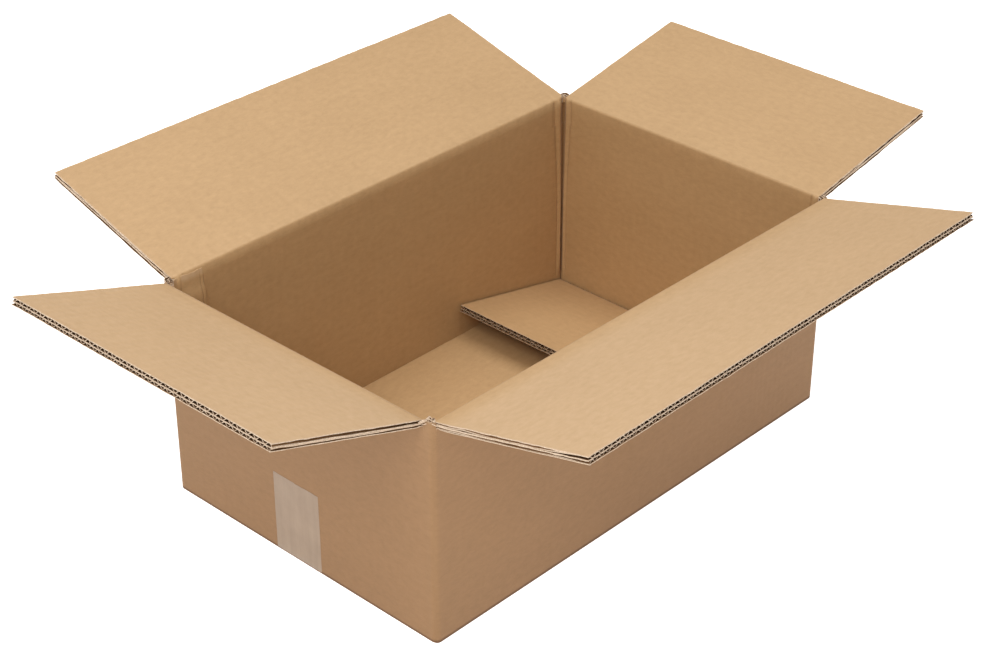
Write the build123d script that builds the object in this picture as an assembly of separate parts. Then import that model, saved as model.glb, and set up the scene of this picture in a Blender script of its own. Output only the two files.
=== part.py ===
from build123d import *
import os
from math import sin, cos, tan, radians, hypot

# Double wall cardboard box, open: a slotted carton of BC corrugated board,
# standing on its taped bottom with its four top flaps swung outwards and its
# two short bottom flaps loose inside.
# Millimetres, +Z up. The origin is at the centre of the base, on the surface
# that the box stands on. X runs along the long walls, Y along the short walls.
# front = long wall at -Y, back = long wall at +Y,
# left = short wall at -X (with the tape end), right = short wall at +X.

# ---------------------------------------------------------------- dimensions
LENGTH = 450.0            # outside, along X
WIDTH = 285.0             # outside, along Y

LINER = 0.35              # each of the three flat papers
MEDIUM = 0.30             # each of the two waved papers
C_DEPTH = 2.80            # room of the larger wave, next to the inside face
B_DEPTH = 2.15            # room of the smaller wave, next to the outside face
C_PITCH = 7.90
B_PITCH = 6.50
BOARD = 3 * LINER + C_DEPTH + B_DEPTH      # 6.0

# Fold axes of the top flaps. The short flaps close first, so their closed
# outside face lies just under the closed long flaps.
LONG_AXIS_Z = 187.55
LEFT_AXIS_Z = 182.9
RIGHT_AXIS_Z = 184.5
LONG_AXIS_IN = 1.2        # fold axis inside the outer face of the long walls
SHORT_AXIS_IN = 1.0       # the same on the short walls
LONG_BELOW = 4.2          # fold axis to the outside face of a long flap, pressed away beside the fold
SHORT_BELOW = 1.0         # the same on a short flap
OUTSWING = 150.0          # furthest outward swing from upright
INSWING = 90.0            # closed
FOLD_GAP = 0.15           # half of the clearance at a fold
LONG_CRUSH = 17.0         # pressed band beside a fold, where the waves are flattened
SHORT_CRUSH = 10.0

# fold axis to free edge, the two ends along the fold, and the rest angle above
# the horizontal
FRONT_FLAP, FRONT_ENDS, REST_FRONT = 140.0, (-221.3, 220.3), 14.9
BACK_FLAP, BACK_ENDS, REST_BACK = 141.3, (-219.3, 220.9), 16.1
LEFT_FLAP, LEFT_ENDS, REST_LEFT = 143.4, (-133.6, 136.2), 18.8
RIGHT_FLAP, RIGHT_ENDS, REST_RIGHT = 142.9, (-135.7, 136.0), 10.6

# the corners of the body between the slots, left standing between the folds
POST_Z = 188.5
POST_X = 221.65           # inner face of a post, beside the long flaps

FLOOR_Z = 0.45            # underside of the long bottom flaps
RIDGE = 7.0               # flat fold ridge under each long wall, which the box stands on
PANEL_GAP = 0.2           # end of a long bottom flap to the short wall
SEAM = 0.8                # gap between the long bottom flaps
CORNER_R = 5.0            # outside corner of the folded board
FOOT_R = 3.0              # outside bottom edge of the long walls
FOOT_CHAMFER = 1.5        # outside bottom edge of the short walls

BOTTOM_FLAP = 134.6       # short bottom flaps, fold to free edge
BOTTOM_HALF = 136.2       # half width between the long walls
BOTTOM_LIFT = 10.3        # rest lift of the right one; the left one lies flat
BOTTOM_GAP = 0.2

TAB_W = 26.5              # glue tab inside the back wall, visible width
TAB_T = 4.0               # pressed thickness
TAB_TOP = 177.5           # just under the closed left flap
TAB_CUT = 3.5             # its sloped top corner

TAPE_W = 49.0
TAPE_T = 0.10
TAPE_Y = 2.2
TAPE_UP_LEFT = 71.0
TAPE_UP_RIGHT = 69.0

HL, HW = LENGTH / 2, WIDTH / 2
IL, IW = HL - BOARD, HW - BOARD            # inside faces of the walls
FLOOR_TOP = FLOOR_Z + BOARD

os.makedirs("parts", exist_ok=True)


# ------------------------------------------------------------------- helpers
def loop(points, plane):
    """Closed wire through (a, b) points of a plane."""
    return Wire(Polyline(*[plane.from_local_coords((a, b, 0)) for a, b in points], close=True).edges())


def prism(points, plane, depth):
    """Solid from a polygon on a plane, pushed along the plane's normal."""
    return Solid.extrude(Face(loop(points, plane)), plane.z_dir * depth)


def block(x0, x1, y0, y1, z0, z1):
    return prism([(x0, y0), (x1, y0), (x1, y1), (x0, y1)], Plane(origin=(0, 0, z0)), z1 - z0)


def cells(low, high, pitch, half, phase):
    """The air spaces of one waved paper between two flat ones: trapezoids that
    stand alternately on the lower and the upper flat paper. (u, w) polygons."""
    flat = 0.2 * pitch                      # crest of the wave, bonded to a liner
    rise, run = (high - low) - MEDIUM, pitch / 2 - flat
    lean, slope = rise / run, hypot(run, rise) / rise
    off = MEDIUM / 2 / lean - MEDIUM / 2 * slope
    wide = pitch / 2 - flat / 2 + off
    narrow = flat / 2 + off
    out = []
    k = int(half / (pitch / 2)) + 2
    for i in range(-k, k + 1):
        u = phase + i * pitch / 2
        if i % 2:
            poly = [(u - narrow, low + MEDIUM), (u + narrow, low + MEDIUM), (u + wide, high), (u - wide, high)]
        else:
            poly = [(u - wide, low), (u + wide, low), (u + narrow, high - MEDIUM), (u - narrow, high - MEDIUM)]
        out.append(poly)
    return out


def clip(poly, limit, side):
    """Part of a polygon with side * u <= limit."""
    out = []
    for (u0, w0), (u1, w1) in zip(poly, poly[1:] + poly[:1]):
        a, b = side * u0 <= limit, side * u1 <= limit
        if a:
            out.append((u0, w0))
        if a != b:
            f = (side * limit - u0) / (u1 - u0)
            out.append((side * limit, w0 + f * (w1 - w0)))
    return out


def fluted_face(plane, left, right, base):
    """Cross-section of the board on a plane whose x runs across the waves and
    whose y points to the inside face. base is the y of the outside face.
    Waves cut open by the two ends leave notches there."""
    b_low = base + LINER
    b_high = b_low + B_DEPTH
    c_low = b_high + LINER
    c_high = c_low + C_DEPTH
    top = c_high + LINER
    half = max(abs(left), abs(right))
    air = cells(b_low, b_high, B_PITCH, half, 0.7) + cells(c_low, c_high, C_PITCH, half, 1.3)
    holes, right_cut, left_cut = [], [], []
    for poly in air:
        us = [u for u, _ in poly]
        if min(us) > left + 0.35 and max(us) < right - 0.35:
            holes.append(poly)
            continue
        for cut, limit, side in ((right_cut, right, 1), (left_cut, -left, -1)):
            if (max(us) if side > 0 else -min(us)) > limit - 0.35 and (min(us) if side > 0 else -max(us)) < limit - 0.6:
                part = clip([(u + (0.4 * side if abs(side * u - max(side * v for v in us)) < 1e-6 else 0), w) for u, w in poly], limit, side)
                on = [p for p in part if abs(side * p[0] - limit) < 1e-6]
                if len(on) == 2 and abs(on[0][1] - on[1][1]) > 0.15:
                    cut.append(part)

    def edge(cuts, limit, side):
        """The notched edge from low y to high y."""
        line = []
        for part in sorted(cuts, key=lambda p: min(w for u, w in p if abs(side * u - limit) < 1e-6)):
            n = len(part)
            on = [i for i in range(n) if abs(side * part[i][0] - limit) < 1e-6]
            low, high = sorted(on, key=lambda i: part[i][1])
            inner = []
            step = 1 if (low + 1) % n != high else -1
            i = low
            while i != high:
                inner.append(part[i])
                i = (i + step) % n
            line += inner + [part[high]]
        return line

    outline = [(left, base), (right, base)]
    outline += edge(right_cut, right, 1)
    outline += [(right, top), (left, top)]
    outline += edge(left_cut, -left, -1)[::-1]
    return Face(loop(outline, plane), [loop(h, plane) for h in holes])


def make_flap(below, crush, length, ends, frame):
    """A top flap in its own frame: x along the fold, y from the fold axis to the
    free edge, z to the inside face. below is the depth of its outside face under
    the axis; ends are its two ends along the fold, in X or Y of the part. Its
    fold end tapers to the axis: 45 degrees on the inside, for closing, and
    OUTSWING / 2 on the outside, where the board is pressed thin."""
    inner, outer = BOARD - below, below
    along = frame.x_dir.X + frame.x_dir.Y      # 1 or -1
    left, right = sorted(along * e for e in ends)
    g = FOLD_GAP
    pressed = [
        (g, 0.0),
        (g + outer * tan(radians(OUTSWING / 2)), -outer),
        (crush, -outer),
        (crush, inner),
        (g + inner * tan(radians(INSWING / 2)), inner),
    ]
    side = Plane(origin=frame.from_local_coords((left, 0, 0)), x_dir=frame.y_dir, z_dir=frame.x_dir)
    root = prism(pressed, side, right - left)
    cut = Plane(origin=frame.from_local_coords((0, crush, 0)), x_dir=frame.x_dir, z_dir=-frame.y_dir)
    # that plane's y is z_dir x x_dir = the inside normal
    face = fluted_face(cut, left, right, -outer)
    board = Solid.extrude(face, frame.y_dir * (length - crush))
    return root.fuse(board)


def write(name, shape):
    if not isinstance(shape, Solid):
        solids = shape.solids()
        assert len(solids) == 1, (name, len(solids))
        shape = solids[0]
    shape.label = name
    export_step(shape, f"parts/{name}.step")


def top_frame(origin, outward, rest):
    """Frame of a top flap: y points outwards and up by the rest angle."""
    a = radians(rest)
    y = Vector(outward[0] * cos(a), outward[1] * cos(a), sin(a))
    z = Vector(-outward[0] * sin(a), -outward[1] * sin(a), cos(a))
    return Plane(origin=origin, x_dir=y.cross(z), z_dir=z)


# --------------------------------------------------------------- folded body
def rounded_outline(hx, hy, r, steps=4):
    pts = []
    for cx, cy, a0 in ((hx - r, hy - r, 0), (-hx + r, hy - r, 90), (-hx + r, -hy + r, 180), (hx - r, -hy + r, 270)):
        for k in range(steps + 1):
            a = radians(a0 + 90.0 * k / steps)
            pts.append((cx + r * cos(a), cy + r * sin(a)))
    return pts


def roof(axis, side, axis_z, axis_in, below):
    """What is cut from the top of a wall, in (across, z): 45 degrees down from
    the fold axis on the inside, as far as the closed flap needs, then level, and
    OUTSWING / 2 down on the outside. side is the outward direction."""
    g = FOLD_GAP
    out_d, in_d = axis_in + 1, BOARD - axis_in + 1
    seat = BOARD - below + g                   # depth and drop of the 45 degree part
    if seat > BOARD - axis_in:                 # it reaches the inside face
        seat = in_d
    points = [
        (axis, axis_z - g),
        (axis + side * out_d, axis_z - g - out_d * tan(radians(OUTSWING / 2))),
        (axis + side * out_d, POST_Z + 5),
        (axis - side * in_d, POST_Z + 5),
        (axis - side * in_d, axis_z - g - seat),
    ]
    if seat < in_d:
        points.append((axis - side * seat, axis_z - g - seat))
    return points


def carton_body():
    """Four walls, the glue tab and the two long bottom flaps: one folded sheet."""
    outline = loop(rounded_outline(HL, HW, CORNER_R), Plane.XY)
    inside = loop([(-IL, -IW), (IL, -IW), (IL, IW), (-IL, IW)], Plane.XY)
    body = Solid.extrude(Face(outline, [inside]), Vector(0, 0, POST_Z))

    # tapered fold ends on top of the long walls, between the posts
    for s in (-1, 1):
        cut = roof(s * (HW - LONG_AXIS_IN), s, LONG_AXIS_Z, LONG_AXIS_IN, LONG_BELOW)
        body = body.cut(prism(cut, Plane(origin=(-POST_X, 0, 0), x_dir=(0, 1, 0), z_dir=(1, 0, 0)), 2 * POST_X))

    # tapered fold ends on top of the short walls, between the long walls
    for s, axis_z in ((-1, LEFT_AXIS_Z), (1, RIGHT_AXIS_Z)):
        cut = roof(s * (HL - SHORT_AXIS_IN), s, axis_z, SHORT_AXIS_IN, SHORT_BELOW)
        body = body.cut(prism(cut, Plane(origin=(0, IW, 0), x_dir=(1, 0, 0), z_dir=(0, -1, 0)), 2 * IW))

    # bottom: the short walls end just above the surface, the long walls stand on it
    for s in (-1, 1):
        x0, x1 = sorted((s * IL, s * (HL + 5)))
        body = body.cut(block(x0, x1, -HW - 5, HW + 5, -5, FLOOR_Z))
        e = s * HL
        foot = [(e - s * FOOT_CHAMFER, FLOOR_Z), (e + s * 3, FLOOR_Z), (e + s * 3, FLOOR_Z + 3 + FOOT_CHAMFER), (e, FLOOR_Z + FOOT_CHAMFER)]
        body = body.cut(prism(foot, Plane(origin=(0, HW + 5, 0), x_dir=(1, 0, 0), z_dir=(0, -1, 0)), 2 * HW + 10))
        # rounded outer fold under each long wall, in flats
        e = s * HW
        arc = [(e - s * FOOT_R * (1 - cos(radians(a))), FOOT_R * (1 - sin(radians(a)))) for a in (0, 30, 60, 90)]
        body = body.cut(prism(arc + [(e - s * FOOT_R, -3), (e + s * 3, -3), (e + s * 3, FOOT_R)], Plane(origin=(-HL - 5, 0, 0), x_dir=(0, 1, 0), z_dir=(1, 0, 0)), 2 * HL + 10))

    # long bottom flaps, inside the short walls, each folded in from its long wall
    for s in (-1, 1):
        panel = [
            (s * (HW - FOOT_R), 0.0),
            (s * (HW - FOOT_R - RIDGE), 0.0),
            (s * (HW - FOOT_R - RIDGE - 2), FLOOR_Z),
            (s * SEAM / 2, FLOOR_Z),
            (s * SEAM / 2, FLOOR_TOP),
            (s * (IW - 0.0), FLOOR_TOP),
            (s * (IW - 0.0), FLOOR_TOP - 0.5),
            (s * (HW - FOOT_R), FLOOR_TOP - 0.5),
        ]
        body = body.fuse(prism(panel, Plane(origin=(-IL + PANEL_GAP, 0, 0), x_dir=(0, 1, 0), z_dir=(1, 0, 0)), 2 * (IL - PANEL_GAP)))

    # glue tab: folded round the back left corner and glued inside the back wall
    x0, x1 = -IL - 0.5, -IL + TAB_W
    z0 = FLOOR_TOP + 1.0
    tab = [(x0, z0), (x1 - 5, z0), (x1, z0 + 5), (x1, TAB_TOP - TAB_CUT), (x1 - 6, TAB_TOP), (x0, TAB_TOP)]
    body = body.fuse(prism(tab, Plane(origin=(0, IW + 0.5, 0), x_dir=(1, 0, 0), z_dir=(0, -1, 0)), TAB_T + 0.5))
    return body


def bottom_tape():
    """One strip: down the left wall, along the bottom seam, up the right wall."""
    c, t = FOOT_CHAMFER, TAPE_T
    d = t * tan(radians(22.5))
    inner = [(-HL, TAPE_UP_LEFT), (-HL, FLOOR_Z + c), (-HL + c, FLOOR_Z), (HL - c, FLOOR_Z), (HL, FLOOR_Z + c), (HL, TAPE_UP_RIGHT)]
    outer = [(-HL - t, TAPE_UP_LEFT), (-HL - t, FLOOR_Z + c - d), (-HL + c - d, FLOOR_Z - t), (HL - c + d, FLOOR_Z - t), (HL + t, FLOOR_Z + c - d), (HL + t, TAPE_UP_RIGHT)]
    return prism(inner + outer[::-1], Plane(origin=(0, TAPE_Y + TAPE_W / 2, 0), x_dir=(1, 0, 0), z_dir=(0, -1, 0)), TAPE_W)


def bottom_flap(side, lift, low, high):
    """Short bottom flap, loose on the long ones. It turns about its inside
    (upper) edge at the foot of the short wall. side is -1 left, +1 right."""
    a = radians(lift)
    y = Vector(-side * cos(a), 0, sin(a))
    z = Vector(side * sin(a), 0, cos(a))
    x = y.cross(z)
    frame = Plane(origin=(side * (IL - FOLD_GAP), 0, FLOOR_TOP + BOTTOM_GAP + BOARD), x_dir=x, z_dir=z)
    lo, hi = sorted((x.Y * low, x.Y * high))
    # outside of the board is down, so the small wave is the lower one
    cut = Plane(origin=frame.from_local_coords((0, SHORT_CRUSH, 0)), x_dir=frame.x_dir, z_dir=-frame.y_dir)
    board = Solid.extrude(fluted_face(cut, lo, hi, -BOARD), frame.y_dir * (BOTTOM_FLAP - SHORT_CRUSH))
    pressed = [(0, 0), (0, -BOARD), (SHORT_CRUSH, -BOARD), (SHORT_CRUSH, 0)]
    edge = Plane(origin=frame.from_local_coords((lo, 0, 0)), x_dir=frame.y_dir, z_dir=frame.x_dir)
    return prism(pressed, edge, hi - lo).fuse(board)


# ---------------------------------------------------------------------- write
write("carton_body", carton_body())
write("bottom_tape", bottom_tape())

y_long = HW - LONG_AXIS_IN
x_short = HL - SHORT_AXIS_IN
for name, length, ends, rest, below, crush, origin, outward in (
    ("front", FRONT_FLAP, FRONT_ENDS, REST_FRONT, LONG_BELOW, LONG_CRUSH, (0, -y_long, LONG_AXIS_Z), (0, -1)),
    ("back", BACK_FLAP, BACK_ENDS, REST_BACK, LONG_BELOW, LONG_CRUSH, (0, y_long, LONG_AXIS_Z), (0, 1)),
    ("left", LEFT_FLAP, LEFT_ENDS, REST_LEFT, SHORT_BELOW, SHORT_CRUSH, (-x_short, 0, LEFT_AXIS_Z), (-1, 0)),
    ("right", RIGHT_FLAP, RIGHT_ENDS, REST_RIGHT, SHORT_BELOW, SHORT_CRUSH, (x_short, 0, RIGHT_AXIS_Z), (1, 0)),
):
    write(f"top_flap_{name}", make_flap(below, crush, length, ends, top_frame(origin, outward, rest)))

# the left one is narrower at the back, where the glue tab is
write("bottom_flap_left", bottom_flap(-1, 0.0, -BOTTOM_HALF, IW - TAB_T - 0.4))
write("bottom_flap_right", bottom_flap(1, BOTTOM_LIFT, -BOTTOM_HALF, BOTTOM_HALF))
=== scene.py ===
import math

import bmesh
import bpy
import numpy as np
from mathutils import Matrix, Vector


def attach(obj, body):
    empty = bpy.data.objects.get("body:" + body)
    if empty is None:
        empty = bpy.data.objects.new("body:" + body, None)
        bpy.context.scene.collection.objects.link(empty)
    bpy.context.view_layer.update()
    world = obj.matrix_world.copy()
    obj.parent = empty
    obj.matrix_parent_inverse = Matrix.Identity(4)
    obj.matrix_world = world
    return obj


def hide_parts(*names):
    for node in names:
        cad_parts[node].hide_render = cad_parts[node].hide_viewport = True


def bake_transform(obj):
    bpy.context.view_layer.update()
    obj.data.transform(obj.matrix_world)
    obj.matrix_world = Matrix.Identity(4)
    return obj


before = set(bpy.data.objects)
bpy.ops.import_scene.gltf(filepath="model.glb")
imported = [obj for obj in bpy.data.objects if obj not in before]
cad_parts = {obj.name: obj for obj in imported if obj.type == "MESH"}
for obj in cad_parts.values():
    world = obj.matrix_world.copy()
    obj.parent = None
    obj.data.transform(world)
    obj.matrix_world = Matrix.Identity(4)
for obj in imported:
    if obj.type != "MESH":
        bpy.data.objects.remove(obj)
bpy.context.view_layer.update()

# ------------------------------------------------------------------ sizes, mm
LENGTH, WIDTH, BOARD = 450.0, 285.0, 6.0
HL, HW = LENGTH / 2, WIDTH / 2
IL, IW = HL - BOARD, HW - BOARD
LINER, MEDIUM = 0.35, 0.30
B_LOW, B_HIGH = 0.35, 2.50
C_LOW, C_HIGH = 2.85, 5.65
B_PITCH, C_PITCH = 6.50, 7.90
CORNER_R = 5.0
JOIN_Z = 165.0            # the walls' mesh ends here and the flaps' meshes begin
FLOOR_Z = 0.45
FLOOR_TOP = FLOOR_Z + BOARD

KRAFT_IN, KRAFT_OUT, CUT, WAVE = 0, 1, 2, 3


# ---------------------------------------------------------------------- noise
def smooth(x):
    x = np.clip(x, 0.0, 1.0)
    return x * x * (3 - 2 * x)


def _hash(i, j, seed):
    i, j = np.asarray(i, np.int64), np.asarray(j, np.int64)
    n = (i * 73856093) ^ (j * 19349663) ^ (seed * 83492791 + 12345)
    n = ((n ^ (n >> 13)) * 1274126177) & 0x7FFFFFFF
    n = (n ^ (n >> 16)) * 668265263 & 0x7FFFFFFF
    return (n & 0xFFFFFF) / 8388607.5 - 1.0


def noise(x, y=0.0, seed=0):
    """Smooth value noise from -1 to 1."""
    x, y = np.broadcast_arrays(np.asarray(x, float), np.asarray(y, float))
    i, j = np.floor(x).astype(np.int64), np.floor(y).astype(np.int64)
    fx, fy = smooth(x - i), smooth(y - j)
    a = _hash(i, j, seed) * (1 - fx) + _hash(i + 1, j, seed) * fx
    b = _hash(i, j + 1, seed) * (1 - fx) + _hash(i + 1, j + 1, seed) * fx
    return a * (1 - fy) + b * fy


# --------------------------------------------------------------- mesh building
class Maker:
    """Gathers closed shells and makes one object of them. Points are in mm."""

    def __init__(self):
        self.v, self.f, self.m, self.uv, self.wear, self.n = [], [], [], [], [], 0

    def sheet(self, top, low, uv, mats, wear=None, keep=None, wrap=False, uv_low=None, wear_low=None):
        """A sheet with thickness: top and low are (rows, cols, 3) grids. mats is
        (top, low, rim). keep says which cells there are; wrap joins the last
        column to the first."""
        rows, cols = top.shape[:2]
        cc = cols if wrap else cols - 1
        if keep is None:
            keep = np.ones((rows - 1, cc), bool)
        base = self.n
        ids = np.arange(rows * cols).reshape(rows, cols)
        a = base + ids
        b = a + rows * cols
        nxt = lambda c: (c + 1) % cols
        r, c = np.nonzero(keep)
        quads = [
            np.stack([a[r, c], a[r, nxt(c)], a[r + 1, nxt(c)], a[r + 1, c]], 1),
            np.stack([b[r, c], b[r + 1, c], b[r + 1, nxt(c)], b[r, nxt(c)]], 1),
        ]
        kinds = [np.full(len(r), mats[0]), np.full(len(r), mats[1])]
        pad = np.zeros((rows + 1, cc + 2), bool)
        pad[1:-1, 1:-1] = keep
        if wrap:
            pad[1:-1, 0], pad[1:-1, -1] = keep[:, -1], keep[:, 0]
        here = pad[1:-1, 1:-1]
        for near, p, q in (
            (pad[:-2, 1:-1], lambda r, c: (r, c), lambda r, c: (r, nxt(c))),
            (pad[2:, 1:-1], lambda r, c: (r + 1, nxt(c)), lambda r, c: (r + 1, c)),
            (pad[1:-1, :-2], lambda r, c: (r + 1, c), lambda r, c: (r, c)),
            (pad[1:-1, 2:], lambda r, c: (r, nxt(c)), lambda r, c: (r + 1, nxt(c))),
        ):
            r, c = np.nonzero(here & ~near)
            if len(r):
                (r0, c0), (r1, c1) = p(r, c), q(r, c)
                quads.append(np.stack([a[r0, c0], b[r0, c0], b[r1, c1], a[r1, c1]], 1))
                kinds.append(np.full(len(r), mats[2]))
        pts = np.concatenate([top.reshape(-1, 3), low.reshape(-1, 3)])
        quads, kinds = np.concatenate(quads), np.concatenate(kinds)
        used = np.zeros(len(pts), bool)
        used[quads.ravel() - base] = True
        new = np.cumsum(used) - 1
        w = np.zeros((rows, cols)) if wear is None else np.broadcast_to(wear, (rows, cols))
        wl = w if wear_low is None else np.broadcast_to(wear_low, (rows, cols))
        w2 = np.concatenate([w.ravel(), wl.ravel()])[used]
        u2 = np.concatenate([uv.reshape(-1, 2), (uv if uv_low is None else uv_low).reshape(-1, 2)])[used]
        self.v.append(pts[used])
        self.f.append(base + new[quads - base])
        self.m.append(kinds)
        self.uv.append(u2)
        self.wear.append(w2)
        self.n += int(used.sum())

    def make(self, name, materials, sharp=35):
        v = np.concatenate(self.v) * 0.001
        f = np.concatenate(self.f)
        mesh = bpy.data.meshes.new(name)
        mesh.from_pydata(v.tolist(), [], f.tolist())
        mesh.polygons.foreach_set("material_index", np.concatenate(self.m).astype(np.int32))
        loops = np.zeros(len(mesh.loops), np.int32)
        mesh.loops.foreach_get("vertex_index", loops)
        layer = mesh.uv_layers.new(name="sheet")
        uv = np.concatenate(self.uv) * 0.001
        layer.data.foreach_set("uv", uv[loops].astype(np.float32).ravel())
        att = mesh.attributes.new("wear", "FLOAT", "POINT")
        att.data.foreach_set("value", np.concatenate(self.wear).astype(np.float32))
        for m in materials:
            mesh.materials.append(m)
        mesh.validate()
        o = bpy.data.objects.new(name, mesh)
        bpy.context.scene.collection.objects.link(o)
        bpy.context.view_layer.objects.active = o
        bm = bmesh.new()
        bm.from_mesh(mesh)
        bmesh.ops.recalc_face_normals(bm, faces=bm.faces)
        bm.to_mesh(mesh)
        bm.free()
        mesh.polygons.foreach_set("use_smooth", np.ones(len(mesh.polygons), bool))
        mesh.set_sharp_from_angle(angle=math.radians(sharp))
        mesh.update()
        return o


# ------------------------------------------------------------------- materials
def new_material(name):
    m = bpy.data.materials.new(name)
    m.use_nodes = True
    t = m.node_tree
    t.nodes.clear()
    out = t.nodes.new("ShaderNodeOutputMaterial")
    p = t.nodes.new("ShaderNodeBsdfPrincipled")
    t.links.new(p.outputs["BSDF"], out.inputs["Surface"])
    return m, t, p


def link(t, a, b):
    t.links.new(a, b)


def math_node(t, op, a, b=None, c=None):
    n = t.nodes.new("ShaderNodeMath")
    n.operation = op
    for i, x in enumerate((a, b, c)):
        if x is None:
            continue
        if isinstance(x, (int, float)):
            n.inputs[i].default_value = x
        else:
            link(t, x, n.inputs[i])
    return n.outputs[0]


def tex_noise(t, vec, scale, detail=2.0, rough=0.5):
    n = t.nodes.new("ShaderNodeTexNoise")
    n.inputs["Scale"].default_value = scale
    n.inputs["Detail"].default_value = detail
    n.inputs["Roughness"].default_value = rough
    link(t, vec, n.inputs["Vector"])
    return n.outputs["Fac"]


def stretched(t, vec, sx, sy, sz=1.0):
    n = t.nodes.new("ShaderNodeMapping")
    n.inputs["Scale"].default_value = (sx, sy, sz)
    link(t, vec, n.inputs["Vector"])
    return n.outputs["Vector"]


def mix_color(t, fac, a, b):
    n = t.nodes.new("ShaderNodeMix")
    n.data_type = "RGBA"
    link(t, fac, n.inputs["Factor"])
    for name, x in (("A", a), ("B", b)):
        s = [i for i in n.inputs if i.name == name and i.type == "RGBA"][0]
        if isinstance(x, tuple):
            s.default_value = (*x, 1.0)
        else:
            link(t, x, s)
    return [o for o in n.outputs if o.type == "RGBA"][0]


def kraft(name, dark, light, pale, pitch_mm, washboard_mm, shade_lines=0.10, fleck=0.9, gloss=0.5, fuzz=0.0):
    """Unbleached kraft liner. The sheet UVs are in metres, x across the waves and
    y along them. Fibres and calender streaks run across the waves; the waves
    show through as faint lines along y, painted shade of the washboard."""
    m, t, p = new_material(name)
    uvn = t.nodes.new("ShaderNodeUVMap")
    uvn.uv_map = "sheet"
    uv = uvn.outputs["UV"]
    sep = t.nodes.new("ShaderNodeSeparateXYZ")
    link(t, uv, sep.inputs[0])
    x = sep.outputs["X"]
    # slow clouds, fibre flocks, fine fibres along the machine direction, specks
    cloud = tex_noise(t, stretched(t, uv, 11.0, 17.0), 1.0, 3.0, 0.55)
    flock = tex_noise(t, stretched(t, uv, 120.0, 210.0), 1.0, 3.0, 0.6)
    fibre = tex_noise(t, stretched(t, uv, 260.0, 1900.0), 1.0, 3.0, 0.6)
    grain = tex_noise(t, stretched(t, uv, 1500.0, 2100.0), 1.0, 2.0, 0.5)
    streak = tex_noise(t, stretched(t, uv, 6.0, 420.0), 1.0, 2.0, 0.5)
    # painted shade lines of the waves below, wandering a little
    wander = math_node(t, "MULTIPLY", tex_noise(t, stretched(t, uv, 4.0, 9.0), 1.0, 1.0), 0.0016)
    phase = math_node(t, "MULTIPLY", math_node(t, "ADD", x, wander), 2 * math.pi / (pitch_mm * 0.001))
    wave = math_node(t, "COSINE", phase)
    uneven = tex_noise(t, stretched(t, uv, 127.0, 14.0), 1.0, 2.0, 0.6)
    washboard_shade = math_node(t, "MULTIPLY", wave, math_node(t, "MULTIPLY", uneven, 1.0))
    value = math_node(t, "ADD", math_node(t, "MULTIPLY", math_node(t, "SUBTRACT", cloud, 0.5), 0.55), 0.5)
    for n, k in ((flock, 0.60), (fibre, 0.50), (grain, 0.30), (streak, 0.10)):
        value = math_node(t, "MULTIPLY_ADD", math_node(t, "SUBTRACT", n, 0.5), k * fleck * 2, value)
    # painted shade of the washboard: colour darker and lighter along the waves
    value = math_node(t, "MULTIPLY_ADD", washboard_shade, shade_lines, value)
    ramp = t.nodes.new("ShaderNodeValToRGB")
    ramp.color_ramp.elements[0].position, ramp.color_ramp.elements[1].position = 0.0, 1.0
    ramp.color_ramp.elements[0].color = (*dark, 1.0)
    ramp.color_ramp.elements[1].color = (*light, 1.0)
    link(t, value, ramp.inputs["Fac"])
    # per-vertex attribute: above zero paler (worn cuts, painted sheen, painted highlight), below zero darker towards
    # brown (painted shade)
    att = t.nodes.new("ShaderNodeAttribute")
    att.attribute_name = "wear"
    pale_wear_and_sheen = math_node(t, "MULTIPLY", att.outputs["Fac"], math_node(t, "MULTIPLY_ADD", flock, 0.9, 0.45))
    pale_wear_and_sheen.node.use_clamp = True
    painted_shade = math_node(t, "MULTIPLY", att.outputs["Fac"], -1.0)
    painted_shade.node.use_clamp = True
    shaded_color = mix_color(t, painted_shade, ramp.outputs["Color"], (0.40 * dark[0], 0.30 * dark[1], 0.22 * dark[2]))
    link(t, mix_color(t, pale_wear_and_sheen, shaded_color, pale), p.inputs["Base Color"])
    p.inputs["Roughness"].default_value = 0.60
    p.inputs["Specular IOR Level"].default_value = gloss
    p.inputs["Sheen Weight"].default_value = fuzz
    p.inputs["Sheen Roughness"].default_value = 0.35
    # relief: the waves, then the fibres
    b1 = t.nodes.new("ShaderNodeBump")
    b1.inputs["Strength"].default_value = 1.0
    b1.inputs["Distance"].default_value = washboard_mm * 0.001
    link(t, math_node(t, "MULTIPLY", wave, math_node(t, "MULTIPLY_ADD", uneven, 0.8, 0.25)), b1.inputs["Height"])
    b2 = t.nodes.new("ShaderNodeBump")
    b2.inputs["Strength"].default_value = 0.6
    b2.inputs["Distance"].default_value = 0.00012
    link(t, math_node(t, "ADD", fibre, math_node(t, "MULTIPLY", flock, 1.2)), b2.inputs["Height"])
    link(t, b1.outputs["Normal"], b2.inputs["Normal"])
    link(t, b2.outputs["Normal"], p.inputs["Normal"])
    return m


def plain_paper(name, dark, light, rough=0.9, scale=(700.0, 900.0), gloss=0.15):
    m, t, p = new_material(name)
    uvn = t.nodes.new("ShaderNodeUVMap")
    uvn.uv_map = "sheet"
    n = tex_noise(t, stretched(t, uvn.outputs["UV"], *scale), 1.0, 3.0, 0.65)
    ramp = t.nodes.new("ShaderNodeValToRGB")
    ramp.color_ramp.elements[0].position, ramp.color_ramp.elements[1].position = 0.3, 0.7
    ramp.color_ramp.elements[0].color = (*dark, 1.0)
    ramp.color_ramp.elements[1].color = (*light, 1.0)
    link(t, n, ramp.inputs["Fac"])
    link(t, ramp.outputs["Color"], p.inputs["Base Color"])
    p.inputs["Roughness"].default_value = rough
    p.inputs["Specular IOR Level"].default_value = gloss
    b = t.nodes.new("ShaderNodeBump")
    b.inputs["Strength"].default_value = 0.7
    b.inputs["Distance"].default_value = 0.0002
    link(t, n, b.inputs["Height"])
    link(t, b.outputs["Normal"], p.inputs["Normal"])
    return m


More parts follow.
